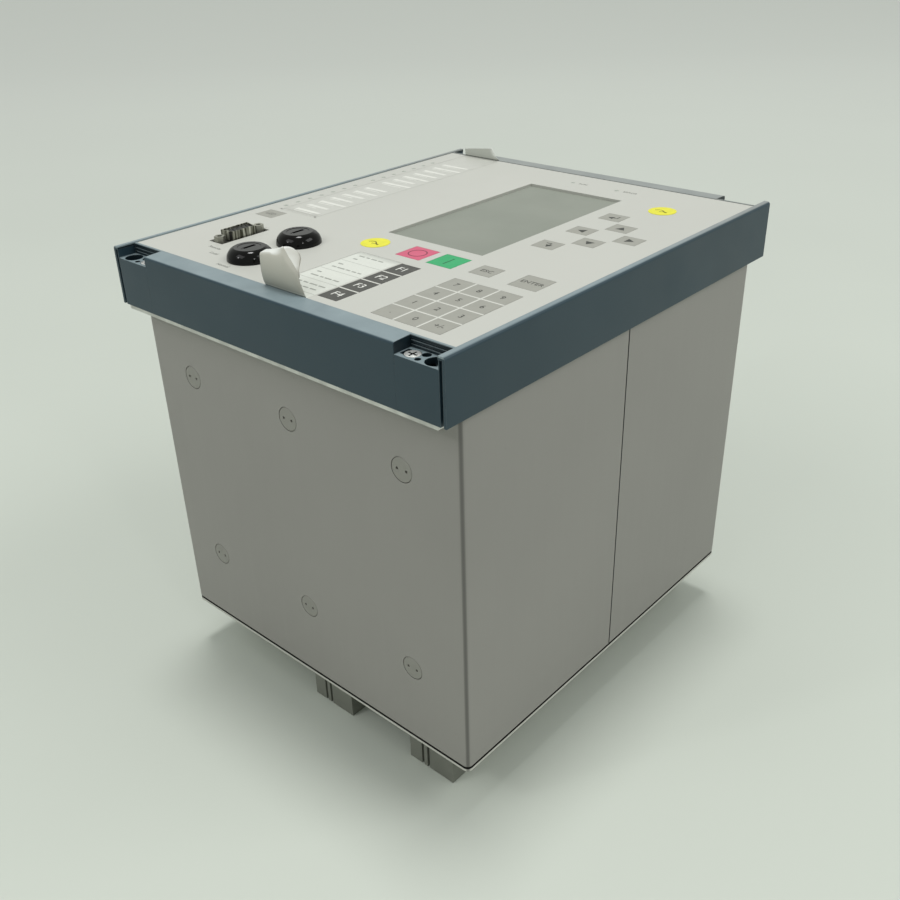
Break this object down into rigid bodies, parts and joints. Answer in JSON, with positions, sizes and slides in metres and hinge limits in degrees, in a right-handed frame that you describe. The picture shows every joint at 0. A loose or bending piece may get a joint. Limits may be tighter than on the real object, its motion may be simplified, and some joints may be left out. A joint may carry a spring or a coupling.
{
  "type": "protection relay",
  "caption": "Flush-mounting protection relay: folded sheet housing, plug-in boards, rear terminals, and a dark framed front with display, keys, lamps and key switches.",
  "frame": {"origin": "under the middle of the front, on the plane of the terminals' faces that the relay stands on", "axes": "+X to the right on the front, +Y towards the front's upper edge, +Z out of the front"},
  "size_m": [0.225, 0.266, 0.2777],
  "materials": {
    "front_plastic": "satin moulded",
    "bright_steel": "zinc plated",
    "screw_steel": "zinc plated",
    "front_film": "fine matt film",
    "display_glass": "smooth, slightly glossy",
    "inner_plastic": "moulded",
    "board": "lacquered",
    "lamp_lens": "clear",
    "label_film": "printed film",
    "yellow_paper": "paper sticker",
    "port_metal": "tinned",
    "black_gloss": "polished",
    "housing_paint": "smooth satin paint",
    "rear_paint": "smooth satin paint",
    "rail_plastic": "moulded",
    "coil_iron": "lacquered",
    "cable_grey": "ribbon",
    "terminal_plastic": "moulded",
    "key_grey": "fine matt film",
    "key_dark": "fine matt film",
    "key_red": "fine matt film",
    "key_green": "fine matt film"
  },
  "bodies": {
    "root": {"frame_bars": "front_plastic", "bar_ends": "front_plastic", "plate_frame": "front_plastic", "left_cheek": "front_plastic", "right_cheek": "front_plastic", "mounting_angles": "bright_steel", "frame_screws": "screw_steel", "front_plate": "front_film", "lcd_glass": "display_glass", "lcd_module": "inner_plastic", "front_board": "board", "status_lamps": "lamp_lens", "lamp_label_strip": "label_film", "function_label_strip": "label_film", "round_stickers": "yellow_paper", "service_port": "port_metal", "jack_screws": "screw_steel", "switch_collars": "black_gloss", "housing_wrap": "housing_paint", "rear_plate": "rear_paint", "guide_rails": "rail_plastic", "processor_board": "board", "contact_board": "board", "transformer_board": "board", "input_transformers": "coil_iron", "output_relays": "inner_plastic", "ribbon_cable": "cable_grey", "terminal_blocks": "terminal_plastic", "terminal_screws": "screw_steel", "rear_screws": "screw_steel", "earth_stud": "screw_steel"},
    "key_7": {"key_7": "key_grey"},
    "key_8": {"key_8": "key_grey"},
    "key_9": {"key_9": "key_grey"},
    "key_4": {"key_4": "key_grey"},
    "key_5": {"key_5": "key_grey"},
    "key_6": {"key_6": "key_grey"},
    "key_1": {"key_1": "key_grey"},
    "key_2": {"key_2": "key_grey"},
    "key_3": {"key_3": "key_grey"},
    "key_point": {"key_point": "key_grey"},
    "key_0": {"key_0": "key_grey"},
    "key_sign": {"key_sign": "key_grey"},
    "function_key_1": {"function_key_1": "key_dark"},
    "function_key_2": {"function_key_2": "key_dark"},
    "function_key_3": {"function_key_3": "key_dark"},
    "function_key_4": {"function_key_4": "key_dark"},
    "key_menu": {"key_menu": "key_grey"},
    "key_left": {"key_left": "key_grey"},
    "key_up": {"key_up": "key_grey"},
    "key_back": {"key_back": "key_grey"},
    "key_down": {"key_down": "key_grey"},
    "key_right": {"key_right": "key_grey"},
    "open_key": {"open_key": "key_red"},
    "close_key": {"close_key": "key_green"},
    "escape_key": {"escape_key": "key_grey"},
    "enter_key": {"enter_key": "key_grey"},
    "lamp_test_key": {"lamp_test_key": "key_grey"},
    "lower_switch": {"lower_switch_rotor": "black_gloss"},
    "upper_switch": {"upper_switch_rotor": "black_gloss"}
  },
  "joints": [
    {"name": "press_key_7", "type": "slide", "parent": "root", "child": "key_7", "axis": [0, 0, -1], "range_m": [0, 0.0005], "stiffness_N_per_m": 3000},
    {"name": "press_key_8", "type": "slide", "parent": "root", "child": "key_8", "axis": [0, 0, -1], "range_m": [0, 0.0005], "stiffness_N_per_m": 3000},
    {"name": "press_key_9", "type": "slide", "parent": "root", "child": "key_9", "axis": [0, 0, -1], "range_m": [0, 0.0005], "stiffness_N_per_m": 3000},
    {"name": "press_key_4", "type": "slide", "parent": "root", "child": "key_4", "axis": [0, 0, -1], "range_m": [0, 0.0005], "stiffness_N_per_m": 3000},
    {"name": "press_key_5", "type": "slide", "parent": "root", "child": "key_5", "axis": [0, 0, -1], "range_m": [0, 0.0005], "stiffness_N_per_m": 3000},
    {"name": "press_key_6", "type": "slide", "parent": "root", "child": "key_6", "axis": [0, 0, -1], "range_m": [0, 0.0005], "stiffness_N_per_m": 3000},
    {"name": "press_key_1", "type": "slide", "parent": "root", "child": "key_1", "axis": [0, 0, -1], "range_m": [0, 0.0005], "stiffness_N_per_m": 3000},
    {"name": "press_key_2", "type": "slide", "parent": "root", "child": "key_2", "axis": [0, 0, -1], "range_m": [0, 0.0005], "stiffness_N_per_m": 3000},
    {"name": "press_key_3", "type": "slide", "parent": "root", "child": "key_3", "axis": [0, 0, -1], "range_m": [0, 0.0005], "stiffness_N_per_m": 3000},
    {"name": "press_key_point", "type": "slide", "parent": "root", "child": "key_point", "axis": [0, 0, -1], "range_m": [0, 0.0005], "stiffness_N_per_m": 3000},
    {"name": "press_key_0", "type": "slide", "parent": "root", "child": "key_0", "axis": [0, 0, -1], "range_m": [0, 0.0005], "stiffness_N_per_m": 3000},
    {"name": "press_key_sign", "type": "slide", "parent": "root", "child": "key_sign", "axis": [0, 0, -1], "range_m": [0, 0.0005], "stiffness_N_per_m": 3000},
    {"name": "press_function_key_1", "type": "slide", "parent": "root", "child": "function_key_1", "axis": [0, 0, -1], "range_m": [0, 0.0005], "stiffness_N_per_m": 3000},
    {"name": "press_function_key_2", "type": "slide", "parent": "root", "child": "function_key_2", "axis": [0, 0, -1], "range_m": [0, 0.0005], "stiffness_N_per_m": 3000},
    {"name": "press_function_key_3", "type": "slide", "parent": "root", "child": "function_key_3", "axis": [0, 0, -1], "range_m": [0, 0.0005], "stiffness_N_per_m": 3000},
    {"name": "press_function_key_4", "type": "slide", "parent": "root", "child": "function_key_4", "axis": [0, 0, -1], "range_m": [0, 0.0005], "stiffness_N_per_m": 3000},
    {"name": "press_key_menu", "type": "slide", "parent": "root", "child": "key_menu", "axis": [0, 0, -1], "range_m": [0, 0.0005], "stiffness_N_per_m": 3000},
    {"name": "press_key_left", "type": "slide", "parent": "root", "child": "key_left", "axis": [0, 0, -1], "range_m": [0, 0.0005], "stiffness_N_per_m": 3000},
    {"name": "press_key_up", "type": "slide", "parent": "root", "child": "key_up", "axis": [0, 0, -1], "range_m": [0, 0.0005], "stiffness_N_per_m": 3000},
    {"name": "press_key_back", "type": "slide", "parent": "root", "child": "key_back", "axis": [0, 0, -1], "range_m": [0, 0.0005], "stiffness_N_per_m": 3000},
    {"name": "press_key_down", "type": "slide", "parent": "root", "child": "key_down", "axis": [0, 0, -1], "range_m": [0, 0.0005], "stiffness_N_per_m": 3000},
    {"name": "press_key_right", "type": "slide", "parent": "root", "child": "key_right", "axis": [0, 0, -1], "range_m": [0, 0.0005], "stiffness_N_per_m": 3000},
    {"name": "press_open_key", "type": "slide", "parent": "root", "child": "open_key", "axis": [0, 0, -1], "range_m": [0, 0.0005], "stiffness_N_per_m": 3000},
    {"name": "press_close_key", "type": "slide", "parent": "root", "child": "close_key", "axis": [0, 0, -1], "range_m": [0, 0.0005], "stiffness_N_per_m": 3000},
    {"name": "press_escape_key", "type": "slide", "parent": "root", "child": "escape_key", "axis": [0, 0, -1], "range_m": [0, 0.0005], "stiffness_N_per_m": 3000},
    {"name": "press_enter_key", "type": "slide", "parent": "root", "child": "enter_key", "axis": [0, 0, -1], "range_m": [0, 0.0005], "stiffness_N_per_m": 3000},
    {"name": "press_lamp_test_key", "type": "slide", "parent": "root", "child": "lamp_test_key", "axis": [0, 0, -1], "range_m": [0, 0.0005], "stiffness_N_per_m": 3000},
    {"name": "turn_lower_switch", "type": "hinge", "parent": "root", "child": "lower_switch", "pos_m": [-0.0413, -0.102, 0.2565], "axis": [0, 0, 1], "range_deg": [0, 90]},
    {"name": "turn_upper_switch", "type": "hinge", "parent": "root", "child": "upper_switch", "pos_m": [-0.0413, -0.0712, 0.2565], "axis": [0, 0, 1], "range_deg": [0, 90]}
  ]
}
